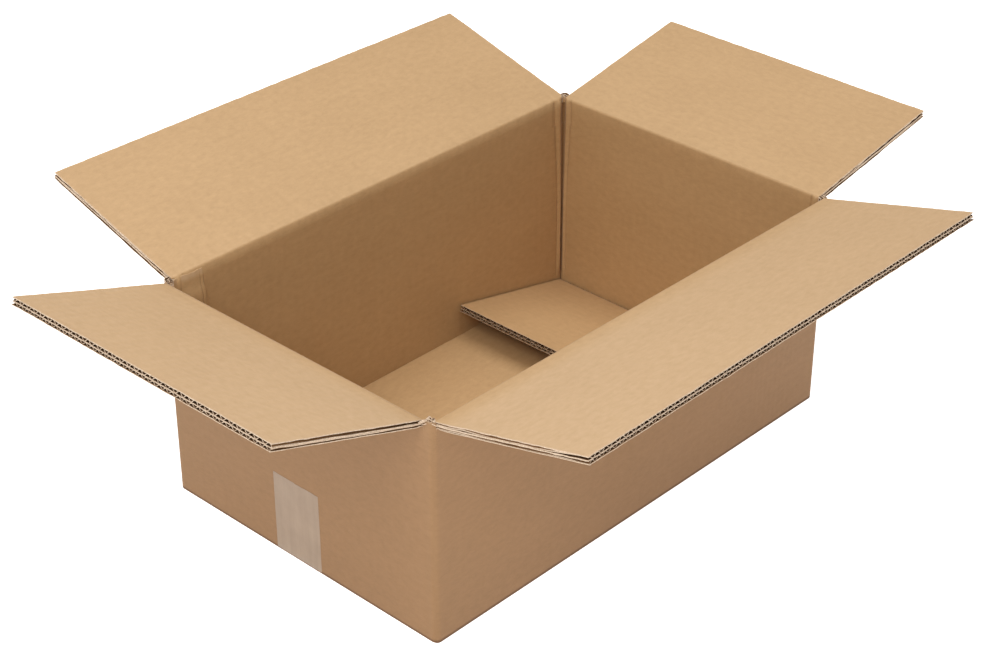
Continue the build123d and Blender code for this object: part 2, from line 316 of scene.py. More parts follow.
INSIDE = kraft("kraft_inside", (0.440, 0.263, 0.112), (0.560, 0.348, 0.163), (0.640, 0.470, 0.310), C_PITCH, 0.035, shade_lines=0.04, gloss=0.70, fuzz=0.12)
# outside liner: its own kraft, set darker than the inside partly as painted shade for the walls
OUTSIDE_SHADED = kraft("kraft_outside_shaded", (0.252, 0.137, 0.059), (0.322, 0.177, 0.079), (0.400, 0.262, 0.150), B_PITCH, 0.02, shade_lines=0.02, gloss=0.25)
EDGE = plain_paper("cut_paper", (0.44, 0.31, 0.20), (0.74, 0.59, 0.45))
# waved paper near black-brown: painted shade in the hollows of the flutes
FLUTE_SHADED = plain_paper("waved_paper_shaded", (0.150, 0.072, 0.030), (0.250, 0.138, 0.066), scale=(300.0, 900.0), gloss=0.0)
BOARDS = [INSIDE, OUTSIDE_SHADED, EDGE, FLUTE_SHADED]


def tape_material():
    """Clear film with a frosted look, seen against the kraft below."""
    m, t, p = new_material("clear_tape")
    uvn = t.nodes.new("ShaderNodeUVMap")
    uvn.uv_map = "sheet"
    uv = uvn.outputs["UV"]
    stripe = tex_noise(t, stretched(t, uv, 210.0, 9.0), 1.0, 3.0, 0.6)
    blot = tex_noise(t, stretched(t, uv, 60.0, 45.0), 1.0, 3.0, 0.6)
    value = math_node(t, "ADD", math_node(t, "MULTIPLY", stripe, 0.45), math_node(t, "MULTIPLY", blot, 0.55))
    ramp = t.nodes.new("ShaderNodeValToRGB")
    ramp.color_ramp.elements[0].position, ramp.color_ramp.elements[1].position = 0.30, 0.80
    ramp.color_ramp.elements[0].color = (0.250, 0.167, 0.102, 1.0)
    ramp.color_ramp.elements[1].color = (0.352, 0.247, 0.160, 1.0)
    link(t, value, ramp.inputs["Fac"])
    link(t, ramp.outputs["Color"], p.inputs["Base Color"])
    p.inputs["Roughness"].default_value = 0.32
    p.inputs["Specular IOR Level"].default_value = 0.45
    b = t.nodes.new("ShaderNodeBump")
    b.inputs["Strength"].default_value = 0.5
    b.inputs["Distance"].default_value = 0.0002
    link(t, value, b.inputs["Height"])
    link(t, b.outputs["Normal"], p.inputs["Normal"])
    return m


# ------------------------------------------------------------------ wall shapes
def wall_wave(a, z, seed):
    """Slight unevenness of a wall, none at its ends, its foot or where the flaps' meshes begin."""
    fade = smooth((z - 14) / 40) * smooth((JOIN_Z - 4 - z) / 40)
    return 0.45 * fade * noise(a / 85.0, z / 70.0, seed)


def bead_width(on_long, z):
    """The beads beside a vertical fold are wide at the top and narrow downwards."""
    return np.where(on_long, 0.86, 1.2) * (1 + 0.75 * smooth((178.0 - z) / 110.0))


def bead(d, on_long, z=185.0):
    """Relief of the inside face beside a vertical fold: d mm from the corner."""
    d = np.abs(d) * bead_width(on_long, z)
    return 1.05 * np.exp(-(((d - 4.9) / 1.8) ** 2)) - 0.75 * np.exp(-(((d - 9.2) / 0.95) ** 2)) - 1.3 * np.exp(-((d / 1.7) ** 2))


def painted_fold_shade(d, on_long, z=185.0):
    """Painted shade: darker colour in the upright folds and in the pressed line beside them."""
    d = np.abs(d) * bead_width(on_long, z)
    return 0.46 * np.exp(-((d / 1.25) ** 2)) + 0.24 * smooth((z - 40) / 120.0) * np.exp(-(((d - 9.2) / 0.8) ** 2))


class FoldFlap:
    """A top flap with its fold and the upper part of its wall. Across the sheet it
    hangs between two curves in (p, z), p outwards from the wall's outside face:
    the inside face, a tight bend from the wall onto the flat upper side, and the
    outside face, a crease under the fold from which the pressed board grows back
    to its full thickness."""

    def __init__(self, name, outward, wall, angle, height, length, ends, free_ends, wall_ends, seed,
                 pinch=1.9, bend_r=2.2, wander=0.8, press=0.7, painted_sheen=0.0, twist=0.0, rise=0.0, skew=0.0, thin=4.9, start_c=0.0, start_b=0.0, lean_c=0.016, lean_b=-0.013, wild=1.0):
        self.name, self.wall, self.seed = name, wall, seed
        self.o = np.array([outward[0], outward[1], 0.0])
        self.u = np.abs(np.array([outward[1], outward[0], 0.0]))
        self.th, self.height, self.length = math.radians(angle), height, length
        self.ends, self.free_ends, self.wall_ends = ends, free_ends, wall_ends
        self.twist, self.rise, self.skew = math.radians(twist), rise, skew
        self.start_c, self.start_b, self.lean_c, self.lean_b, self.wild = start_c, start_b, lean_c, lean_b, wild
        c, s = math.cos(self.th), math.sin(self.th)
        self.c, self.s = c, s
        self.thin, self.wander, self.press, self.painted_sheen = thin, wander, press, painted_sheen
        # the inside face leans outwards by pinch over the last 9 mm of the wall, then
        # bends onto the upper side of the flap at (kp, zi)
        kp = pinch - BOARD
        self.zi = height + (kp + 2) * math.tan(self.th)
        self.zo = height + 2 * math.tan(self.th) - thin / c      # the crease outside
        self.a0 = (-kp - thin * s) * c + (self.zo + thin * c - self.zi) * s
        t = np.linspace(0, 1, 19)
        lean_p, lean_z = -BOARD + pinch * t ** 2, self.zi - 9 + 9 * t
        beta = math.atan2(2 * pinch, 9.0)
        turn = math.pi / 2 - self.th - beta
        tl = bend_r * math.tan(turn / 2)
        run = lean_z - self.zi
        on = run < -tl - 0.3
        d1, m = np.array([math.sin(beta), math.cos(beta)]), np.array([math.cos(beta), -math.sin(beta)])
        phi = np.linspace(0, turn, 9)
        arc = np.array([kp, self.zi]) - tl * d1 + bend_r * (np.sin(phi)[:, None] * d1 + (1 - np.cos(phi))[:, None] * m)
        self.in_a = np.concatenate([[-109.0], run[on], -tl + 2 * tl * phi / turn, [400.0]])
        self.in_p = np.concatenate([[-BOARD], lean_p[on], arc[:, 0], [kp + 400 * c]])
        self.in_z = np.concatenate([[self.zi - 109], lean_z[on], arc[:, 1], [self.zi + 400 * s]])
        # rows: s, and how far along each of the two curves
        d = self.zo - self.zi
        self.rows = np.array([
            (-60.0, -60 + d, -60.0), (-4.0, -4 + d, -4.0), (-3.0, -3 + d, -2.7), (-2.0, (d - 2.6) * 0.6, -1.6), (-1.0, (d - 2.6) * 0.25, -0.8),
            (0.0, self.a0 * 0.12, -0.3), (1.0, self.a0 * 0.42, 0.0), (2.0, self.a0 * 0.72, 0.3), (3.0, self.a0 + 0.2, 0.8), (4.0, self.a0 + 1.7, 2.0),
            (5.0, self.a0 + 3.3, 3.4), (6.5, self.a0 + 5.0, 5.05), (8.0, self.a0 + 6.6, 6.6), (400.0, self.a0 + 398.6, 398.6)])

    def inner(self, a):
        """Inside face at a mm past the bend."""
        return np.interp(a, self.in_a, self.in_p), np.interp(a, self.in_a, self.in_z)

    def outer(self, b):
        t = self.thin + (BOARD - self.thin) * np.sin(np.pi / 2 * np.clip(b / 10.0, 0, 1)) - self.thin
        p = np.where(b < 0, 0.0, b * self.c + t * self.s)
        z = np.where(b < 0, self.zo + b, self.zo + b * self.s - t * self.c)
        return p, z

    def across(self, un, s, f):
        """Position along the fold. The straight ends of the flap run out to
        free_ends; in the wall the inside face ends at the inside corners."""
        (u0, u1), (v0, v1), (w0, w1) = self.ends, self.free_ends, self.wall_ends
        k = (un - u0) / (u1 - u0)
        r = np.clip(s, 0, None) / self.length
        g = smooth((-s + 1.0) / 4.5) * f
        return un + ((v0 - u0) * r + (w0 - u0) * g) * (1 - k) + ((v1 - u1) * r + (w1 - u1) * g) * k

    def phase_c(self, un, s):
        return (un + s * self.lean_c + self.wild * (0.8 * noise(un / 60.0, s / 90.0, self.seed + 5) + self.wander * noise(un / 45.0, s / 15.0, self.seed + 15)) - self.start_c) / C_PITCH

    def phase_b(self, un, s):
        return (un + s * self.lean_b + self.wild * (0.7 * noise(un / 55.0, s / 80.0, self.seed + 6) + self.wander * noise(un / 45.0, s / 12.0, self.seed + 16)) - self.start_b) / B_PITCH

    def point(self, un, s, h, lift=0.0):
        """un along the fold, s along the sheet from the fold, h from the outside face
        of the unpressed board, lift in true mm towards the inside."""
        un, s, h, lift = np.broadcast_arrays(*(np.asarray(v, float) for v in (un, s, h, lift)))
        f = h / BOARD
        a = np.interp(s, self.rows[:, 0], self.rows[:, 1])
        b = np.interp(s, self.rows[:, 0], self.rows[:, 2])
        pi, zi = self.inner(a)
        # not pinched right beside the upright folds
        d = (IL if self.o[0] == 0 else IW) - np.abs(un)
        pi = pi - (pi + BOARD) * (1 - smooth(d / 6.0)) * smooth((-s - 1.0) / 2.0)
        po, zo = self.outer(b)
        dp, dz = pi - po, zi - zo
        n = np.hypot(dp, dz)
        u = self.across(un, s, f)
        # waves that show through beside the fold and, faintly, elsewhere
        c = np.cos(2 * np.pi * self.phase_c(un, s))
        lift = lift + (h > 5) * (0.02 + 0.07 * np.exp(-(((s - 4.5) / 2.6) ** 2)) + 0.05 * np.exp(-(((s + 6) / 4.0) ** 2))) * c
        lift = lift + (h < 1) * 0.10 * np.exp(-((s / 6.0) ** 2)) * noise(un / 3.1, s / 7.0, self.seed + 8)
        d = (IL if self.o[0] == 0 else IW) - np.abs(u)
        lift = lift + (h > 5) * bead(np.clip(d, 0, None), self.o[0] == 0) * smooth((-s + 0.3) / 2.4)
        # nearly flat
        slack = 0.16 * noise(un / 120.0, s / 80.0, self.seed + 1) * smooth((s - 10) / 60.0)
        p = po + dp * f + dp / n * lift - self.s * slack
        z = zo + dz * f + dz / n * lift + self.c * slack
        # a slight twist about the fold, and a fold that isn't quite level
        mid = (self.ends[0] + self.ends[1]) / 2
        k = (u - mid) / (self.ends[1] - self.ends[0])
        x = np.clip(b, 0, None)
        turn = self.twist * k
        p = p - self.s * x * turn
        z = z + self.c * x * turn + self.rise * k * smooth((s + 16) / 14)
        # the outside corner of the box is round
        over = np.abs(u) - (HL - CORNER_R if self.o[0] == 0 else HW - CORNER_R)
        inset = CORNER_R - np.sqrt(np.maximum(CORNER_R ** 2 - np.clip(over, 0, CORNER_R) ** 2, 0))
        p = p - inset * (1 - f) * smooth((-s + 1) / 4.0)
        out = u[..., None] * self.u + (self.wall + p)[..., None] * self.o
        out[..., 2] = z
        return out

    def build(self):
        mk = Maker()
        seed = self.seed
        u0, u1 = self.ends
        # the free edge, in s
        L = self.length + 0.02
        low_s = JOIN_Z - self.zo
        end = lambda un: L + self.skew * ((un - u0) / (u1 - u0) - 0.5)
        rows_in = np.concatenate([[low_s, -16, -12, -9, -6.5, -4.5, -3.6, -3, -2.5, -2, -1.5, -1, -0.5, 0, 0.6, 1.4, 2.2, 3, 4, 5, 6.5, 8, 10, 12.5, 15, 18],
                                  np.arange(21, L - 5, 4.8), [L - 4, L - 1.6, L - 0.8, L]])
        n = int((u1 - u0) / (C_PITCH / 4))
        edge = np.array([0, 0.8, 1.6, 2.5, 3.4, 4.4, 5.4, 6.4, 7.2, 8.0, 8.8, 9.6, 10.4, 11.3, 12.5, 14.0])
        cols = np.linspace(u0, u1, n + 1)
        cols = cols[(cols > u0 + 15) & (cols < u1 - 15)]
        cols = np.unique(np.round(np.concatenate([cols, u0 + edge, u1 - edge]), 4))

        def side_of(un):
            """Distance to the nearer side edge, and which one."""
            return np.minimum(un - u0, u1 - un), np.where(un - u0 < u1 - un, -1.0, 1.0)

        def ragged(un, s, k, inset=0.0):
            """Unevenness of the cut edges: at the free edge along s, at the slots across."""
            at_end = smooth((s - (L - 2.5)) / 2.5)
            cut = 0.20 * noise(un / 2.1, 0, seed + k) + 0.12 * noise(un / 9.0, 0, seed + k + 20) + inset
            s2 = s + at_end * (end(un) - L - 0.18 + cut)
            d, side = side_of(un)
            w = smooth((1.4 - d) / 1.4) * smooth((s + 3) / 4)
            wob = 0.17 * noise(s / 2.7, side, seed + k + 40) + 0.13 * noise(s / 11.0, side, seed + k + 50)
            return un + side * w * (wob + inset - 0.12), s2

        def frayed(un, s):
            """1 at the cuts, 0 a little way in: the paper is pressed up there."""
            d, _ = side_of(un)
            return np.clip(smooth((s - (L - 1.7)) / 1.2) + smooth((1.7 - d) / 1.2) * smooth((s + 1) / 3), 0, 1)

        def pressed(un, s, k):
            """The knife has pressed the liner's cut down over the waves here and there."""
            d, side = side_of(un)
            e = smooth((1.5 - d) / 0.8) * smooth((s + 1) / 3)
            return e * (smooth((noise(s / 5.5, side, seed + k + 110) + 0.10) / 0.55) + 0.5 * smooth((noise(s / 1.9, side, seed + k + 120) - 0.1) / 0.5))

        def loose(un, s, k, size=0.13):
            """Liners that have come away from the waves a little at the cuts."""
            d, _ = side_of(un)
            e = np.maximum(smooth((s - (L - 6)) / 6), smooth((5 - d) / 5) * smooth(s / 8))
            return e * size * (noise(un / 9.0, s / 12.0, seed + k + 60) + 0.6 * noise(un / 3.3, s / 4.1, seed + k + 70))

        # inside liner
        U, S = np.meshgrid(cols, rows_in)
        u2, s2 = ragged(U, S, 1)
        lift = loose(U, S, 1)
        e = frayed(U, S)
        top = self.point(u2, s2, 6.0, lift)
        low = self.point(u2, s2, 6.0, lift - LINER - 0.40 * e * (0.8 + 0.35 * noise(U / 2.6, S / 2.6, seed + 90)) - self.press * pressed(U, S, 1))
        # paler cut edges; painted sheen on the near flaps, strongest at their near end; painted shade in the folds
        # beside the corners
        wear = 0.30 * smooth((S - (L - 1.5)) / 1.5) + 0.30 * smooth((1.3 - side_of(U)[0]) / 1.3) * smooth((S + 2) / 3)
        d = (IL if self.o[0] == 0 else IW) - np.abs(u2)
        wear = np.clip(wear + self.painted_sheen * smooth(S / 25.0) * (0.8 - 0.4 * (U - u0) / (u1 - u0)), 0, 1) - painted_fold_shade(d, self.o[0] == 0) * smooth((1.0 - S) / 2.0)
        mk.sheet(top, low, np.stack([U + 1000 * seed, S], -1), (KRAFT_IN, WAVE, CUT), wear)
        # outside liner
        rows_out = np.concatenate([[low_s, -16, -12, -9, -6.5, -4.5, -3, -2, -1, 0, 1, 2, 3, 4, 5, 6.5, 8, 10, 12.5, 15, 18], np.arange(24, L - 6, 9.0), [L - 4, L - 1.6, L - 0.8, L]])
        nb = int((u1 - u0) / (B_PITCH / 2))
        cols_b = np.linspace(u0, u1, nb + 1)
        cols_b = np.unique(np.round(np.concatenate([cols_b[(cols_b > u0 + 3) & (cols_b < u1 - 3)], u0 + np.array([0, 0.8, 1.6, 2.8]), u1 - np.array([0, 0.8, 1.6, 2.8])]), 4))
        U, S = np.meshgrid(cols_b, rows_out)
        u2, s2 = ragged(U, S, 2)
        lift = loose(U, S, 2)
        e = frayed(U, S)
        low = self.point(u2, s2, 0.0, lift)
        top = self.point(u2, s2, 0.0, lift + LINER + 0.30 * e * (0.8 + 0.4 * noise(U / 2.3, S / 2.3, seed + 91)))
        wear = 0.30 * smooth((S - (L - 1.5)) / 1.5)
        mk.sheet(top, low, np.stack([U + 1000 * seed, S + 500], -1), (WAVE, KRAFT_OUT, CUT), wear)
        # middle liner
        rows_mid = np.concatenate([[-9, -5, -3, -1, 1, 3, 5, 8, 12], np.arange(16, L - 6, 6.0), [L - 4.5, L - 3, L - 1.6, L - 0.6]])
        U, S = np.meshgrid(cols_b, rows_mid)
        u2, s2 = ragged(U, S, 3, -0.12)
        e = frayed(U, S)
        lift = loose(U, S, 3, 0.16)
        mid = B_HIGH + LINER / 2
        up, down = pressed(U, S, 2), pressed(U, S, 3)
        mk.sheet(self.point(u2, s2, mid, lift + 0.18 + 0.26 * e + 0.5 * self.press * up), self.point(u2, s2, mid, lift - 0.18 - 0.22 * e - 0.8 * self.press * down), np.stack([U, S + 900], -1), (WAVE, WAVE, CUT))
        # waves
        rows_w = np.concatenate([[-8, -5, -3, -1, 1, 3, 5, 8, 12, 18], np.linspace(27, L - 8, 9), [L - 3, L - 1.7, L - 0.7]])
        for lo, hi, pitch, phase, per, k in ((C_LOW, C_HIGH, C_PITCH, self.phase_c, 9, 4), (B_LOW, B_HIGH, B_PITCH, self.phase_b, 8, 5)):
            n = int((u1 - u0) / pitch * per)
            c = np.linspace(u0 + 0.15, u1 - 0.15, n + 1)
            U, S = np.meshgrid(c, rows_w)
            u2, s2 = ragged(U, S, k, -0.2)
            x = 2 * np.pi * phase(U, S) + 0.30 * noise(U / 5.0, S / 25.0, seed + k + 80)
            g = np.sin(x)
            wv = np.clip(g * 1.12, -1, 1)
            mid, amp = (lo + hi) / 2, (hi - lo - MEDIUM) / 2 + 0.02
            slope = amp * 1.12 * np.cos(x) * (np.abs(g * 1.12) < 1) * 2 * np.pi / pitch
            th = (MEDIUM / 2 + 0.16 * frayed(U, S)) * np.sqrt(1 + slope ** 2)
            # crushed flatter at the fold
            flat = 1 - 0.42 * np.exp(-(((S - 1.5) / 8.5) ** 4)) * (side_of(U)[0] > 1.0)
            mk.sheet(self.point(u2, s2, mid + amp * wv * flat, th), self.point(u2, s2, mid + amp * wv * flat, -th), np.stack([U, S + 1300 + 300 * k], -1), (WAVE, WAVE, CUT))
        return mk.make(self.name, BOARDS)


class LooseFlap:
    """A short bottom flap, folded in at the foot of its wall."""

    def __init__(self, name, side, lift_deg, low, high, length, dip, seed):
        self.name, self.seed, self.length, self.dip = name, seed, length, dip
        self.low, self.high = low, high
        a = math.radians(lift_deg)
        self.axis = np.array([side * (IL - 0.15), 0.0, FLOOR_TOP + 0.2 + BOARD])
        self.t = np.array([-side * math.cos(a), 0, math.sin(a)])
        self.n = np.array([side * math.sin(a), 0, math.cos(a)])

    def point(self, u, s, h, lift=0.0):
        u, s, h = np.broadcast_arrays(np.asarray(u, float), np.asarray(s, float), np.asarray(h, float))
        c = np.cos(2 * np.pi * (u + s * 0.014) / C_PITCH)
        # pressed between its underside and an upper side that dips to the hinge
        top = -self.dip * (1 - s / self.length) - 0.8 * np.exp(-((s / 2.2) ** 2))
        w = -BOARD + (top + BOARD) * h / BOARD
        w = w + (h > 5) * (0.02 + 0.06 * np.exp(-(((s - 5.0) / 2.5) ** 2))) * c
        w = w + 0.15 * noise(u / 90.0, s / 60.0, self.seed) * smooth(s / 50.0) * (h > 1) + lift
        out = self.axis + s[..., None] * self.t + w[..., None] * self.n
        out[..., 1] += u
        return out

    def build(self):
        mk = Maker()
        L, seed, lo_u, hi_u = self.length, self.seed, self.low, self.high

        def ragged(un, s, k, inset=0.0):
            at_end = smooth((s - (L - 3)) / 3)
            cut = 0.22 * noise(un / 2.1, 0, seed + k) + 0.16 * noise(un / 9.0, 0, seed + k + 20) + inset
            s2 = s - at_end * (0.25 - cut)
            side = smooth((un - (hi_u - 1.2)) / 1.2) - smooth(((lo_u + 1.2) - un) / 1.2)
            wob = 0.2 * noise(s / 3.1, np.sign(un), seed + k + 40)
            return un - side * (0.25 - wob - inset), s2

        rows = np.concatenate([[0.15, 1, 2, 3.2, 4.5, 6, 8, 10], np.arange(14, L - 6, 6.0), [L - 4, L - 1.4, L]])
        cols = np.linspace(lo_u, hi_u, int((hi_u - lo_u) / (C_PITCH / 4)) + 1)
        U, S = np.meshgrid(cols, rows)
        u2, s2 = ragged(U, S, 1)
        lift = 0.12 * noise(U / 8.0, S / 14.0, seed + 60) * smooth((S - (L - 6)) / 6)
        gap = np.minimum(U - lo_u, hi_u - U)
        # paler cut edge; painted shade along the hinge and along the sides beside the walls
        wear = 0.5 * smooth((S - (L - 1.5)) / 1.5) - 0.6 * smooth((2.6 - S) / 1.6) - 0.35 * smooth((2.2 - gap) / 2.0)
        mk.sheet(self.point(u2, s2, 6.0, lift), self.point(u2, s2, 6.0 - LINER, lift), np.stack([U + 1000 * seed, S], -1), (KRAFT_IN, WAVE, CUT), wear)
        cols = np.linspace(lo_u, hi_u, int((hi_u - lo_u) / 3.25) + 1)
        rows = np.concatenate([[0.15, 2, 4.5, 8], np.arange(14, L - 6, 9.0), [L - 4, L - 1.4, L]])
        U, S = np.meshgrid(cols, rows)
        u2, s2 = ragged(U, S, 2)
        mk.sheet(self.point(u2, s2, LINER), self.point(u2, s2, 0.0), np.stack([U + 1000 * seed, S + 500], -1), (WAVE, KRAFT_OUT, CUT))
        u2, s2 = ragged(U, np.minimum(S, L - 0.4), 3, -0.25)
        mk.sheet(self.point(u2, s2, B_HIGH + LINER), self.point(u2, s2, B_HIGH), np.stack([U, S + 900], -1), (WAVE, WAVE, CUT))
        rows_w = np.concatenate([[0.5, 6, 12], np.linspace(24, L - 8, 10), [L - 3, L - 0.8]])
        for lo, hi, pitch, lean, per, k in ((C_LOW, C_HIGH, C_PITCH, 0.014, 10, 4), (B_LOW, B_HIGH, B_PITCH, -0.012, 8, 5)):
            c = np.linspace(lo_u + 0.15, hi_u - 0.15, int((hi_u - lo_u) / pitch * per) + 1)
            U, S = np.meshgrid(c, rows_w)
            u2, s2 = ragged(U, S, k, -0.35)
            x = 2 * np.pi * (U + S * lean) / pitch + 0.35 * noise(U / 5.0, S / 25.0, seed + k + 80)
            g = np.sin(x)
            mid, amp = (lo + hi) / 2, (hi - lo - MEDIUM) / 2 + 0.02
            slope = amp * 1.12 * np.cos(x) * (np.abs(g * 1.12) < 1) * 2 * np.pi / pitch
            th = MEDIUM / 2 * np.sqrt(1 + slope ** 2)
            wv = np.clip(g * 1.12, -1, 1)
            mk.sheet(self.point(u2, s2, mid + amp * wv + th), self.point(u2, s2, mid + amp * wv - th), np.stack([U, S + 1300 + 300 * k], -1), (WAVE, WAVE, CUT))
        return mk.make(self.name, BOARDS)


# ------------------------------------------------------------------------ walls
# corner posts: signs, ends of the flaps beside them on the outside face, and the
# same on the inside face of the wall, height of the frays and of the papers
POSTS = [
    (-1, -1, 221.5, 133.3, 217.5, 132.8, 0.75, 188.1),
    (1, -1, 220.0, 135.6, 217.5, 135.0, 0.6, 188.0),
    (1, 1, 220.9, 135.9, 217.5, 135.0, 0.45, 190.2),
    (-1, 1, 218.9, 136.7, 217.5, 135.0, 0.7, 188.0),
]
BEAD_D = [0.0, 0.8, 1.6, 2.4, 3.2, 4.2, 5.2, 6.2, 6.9, 7.6, 8.3, 9.0, 9.7, 10.4, 11.1, 11.9, 13.0, 14.0]


def outer_arc(d):
    """Point of the outside face that goes with a point d mm along the inside face
    from the corner: (along the wall's direction from the corner's centre side,
    inset). Returns (a, b): a towards the corner along the wall, b inset."""
    flat = BEAD_D[-1]
    half_arc = CORNER_R * math.pi / 4
    t = (flat - d) / flat * (flat + half_arc)
    if t <= flat:
        return 0.0 - (flat - t), 0.0            # on the flat, this far before the arc begins
    ang = (t - flat) / CORNER_R
    return CORNER_R * math.sin(ang), CORNER_R * (1 - math.cos(ang))


def ring_columns():
    """Columns round the box: outside (x, y), inside (x, y), distance to the fold,
    wall number, distance along the perimeter, place along the outside face."""
    cols = []
    # walls: (start corner, end corner) anticlockwise from the front left corner
    walls = [
        ((-1, -1), (1, -1), 0),    # front
        ((1, -1), (1, 1), 1),      # right
        ((1, 1), (-1, 1), 2),      # back
        ((-1, 1), (-1, -1), 3),    # left
    ]
    run = 0.0
    for (sx, sy), (ex, ey), k in walls:
        along_x = k in (0, 2)
        length = LENGTH if along_x else WIDTH
        half_in = IL if along_x else IW
        direction = (ex - sx) / 2 if along_x else (ey - sy) / 2
        normal = sy if along_x else sx          # outwards sign on the other axis
        face_out = HW if along_x else HL
        face_in = IW if along_x else IL
        arc0 = (HL if along_x else HW) - CORNER_R      # where the arc begins
        pts = []
        for d in BEAD_D:
            a, b = outer_arc(d)
            pts.append((-(half_in - d), -(arc0 + a), b, d))
        inner_flat = np.linspace(-(half_in - BEAD_D[-1]), half_in - BEAD_D[-1], int((2 * half_in - 28) / 11) + 1)[1:-1]
        pts += [(v, v, 0.0, half_in - abs(v)) for v in inner_flat]
        for d in BEAD_D[::-1][:-1]:
            a, b = outer_arc(d)
            pts.append((half_in - d, arc0 + a, b, d))
        for vin, vout, inset, d in pts:
            if along_x:
                out = (direction * vout, normal * (face_out - inset))
                inn = (direction * vin, normal * face_in)
            else:
                out = (normal * (face_out - inset), direction * vout)
                inn = (normal * face_in, direction * vin)
            cols.append((out, inn, d, k, run + vin + half_in, vout))
        run += length
    return cols


def build_walls():
    cols = ring_columns()
    n = len(cols)
    out = np.array([c[0] for c in cols])
    inn = np.array([c[1] for c in cols])
    d = np.array([c[2] for c in cols])
    wall = np.array([c[3] for c in cols])
    run = np.array([c[4] for c in cols])
    # outward directions: of the outside face, and of the wall
    normal_wall = np.array([[0, -1], [1, 0], [0, 1], [-1, 0]], float)[wall]
    tang = np.roll(out, -1, 0) - np.roll(out, 1, 0)
    nrm = np.stack([tang[:, 1], -tang[:, 0]], 1)
    nrm /= np.linalg.norm(nrm, axis=1)[:, None]
    # foot: round under the long walls, nearly sharp under the short ones
    longness = np.abs(nrm[:, 1]) ** 2
    foot_r = 0.45 + 0.15 * longness
    foot_z = FLOOR_Z * (1 - smooth(longness * 1.4))
    angles = np.radians([90, 70, 50, 30, 12, 0])
    rows_out, rows_in = [], []
    top_rows = [1.4, 2.1, 2.7, 3.4, 5.0, 9.0, 14, 20, 28, 38, 50, 62, 76, 90, 104, 118, 132, 146, 157, JOIN_Z]
    for a in angles:
        z = foot_z + foot_r * (1 - math.sin(a))
        o = out - nrm * (foot_r * (1 - math.cos(a)))[:, None]
        rows_out.append(np.column_stack([o, z]))
        rows_in.append(np.column_stack([inn, z]))
    for z in top_rows:
        w = wall_wave(run, z, 30) * smooth((d - 6) / 25)
        rows_out.append(np.column_stack([out + nrm * w[:, None], np.full(n, z)]))
        # the fold itself runs deeper into the corner
        i = inn - normal_wall * (bead(d, wall % 2 == 0, z) * smooth((z - 12.5) / 9.0) - w)[:, None] * (d > 0.01)[:, None]
        corner = d < 0.01
        i[corner] = inn[corner] + nrm[corner] * 1.75
        rows_in.append(np.column_stack([i, np.full(n, z)]))
    O, I = np.array(rows_out), np.array(rows_in)
    rows = len(O)
    uv = np.stack([np.broadcast_to(run, (rows, n)), O[..., 2]], -1)
    # outside: painted highlight along the rounded corners, painted contact shadow along the foot
    wear = np.broadcast_to(0.07 * np.exp(-((np.abs(d) / 3.2) ** 2)), (rows, n)) * (0.8 + 0.2 * noise(0, O[..., 2] / 17.0, 77))
    wear = wear - 0.75 * smooth((3.4 - O[..., 2]) / 1.4)
    mk = Maker()
    # inside: painted shade in the upright folds
    mk.sheet(O, I, uv, (KRAFT_OUT, KRAFT_IN, CUT), np.clip(wear, -1, 1), wrap=True, wear_low=-painted_fold_shade(d[None, :], (wall % 2 == 0)[None, :], O[..., 2]))
    for k, post in enumerate(POSTS):
        add_post(mk, k, *post)
    add_torn(mk)
    return mk.make("box_walls", BOARDS)


def corner_line(sx, sy, inset, n, end_x, end_y, in_x, in_y):
    """Points round a corner at an inset from the outside face, from the end of the
    long flap beside it to that of the short one."""
    f = inset / BOARD
    reach_x, reach_y = end_x + (in_x - end_x) * f, end_y + (in_y - end_y) * f
    r = max(CORNER_R - inset, 0.2)
    cx, cy = HL - inset - r, HW - inset - r
    pts = []
    if reach_x < cx:
        pts += [(t, HW - inset) for t in np.linspace(reach_x, cx, 5)[:-1]]
        a0 = 0.0
    else:
        a0 = math.asin(min((reach_x - cx) / r, 1.0))
    pts += [(cx + r * math.sin(a), cy + r * math.cos(a)) for a in np.linspace(a0, math.pi / 2, 14)]
    pts += [(HL - inset, t) for t in np.linspace(cy, reach_y, 6)[1:]]
    pts = np.array(pts, float)
    seg = np.concatenate([[0], np.cumsum(np.linalg.norm(np.diff(pts, axis=0), axis=1))])
    at = np.linspace(0, seg[-1], n)
    p = np.stack([np.interp(at, seg, pts[:, 0]), np.interp(at, seg, pts[:, 1])], 1)
    return p * np.array([sx, sy]), at


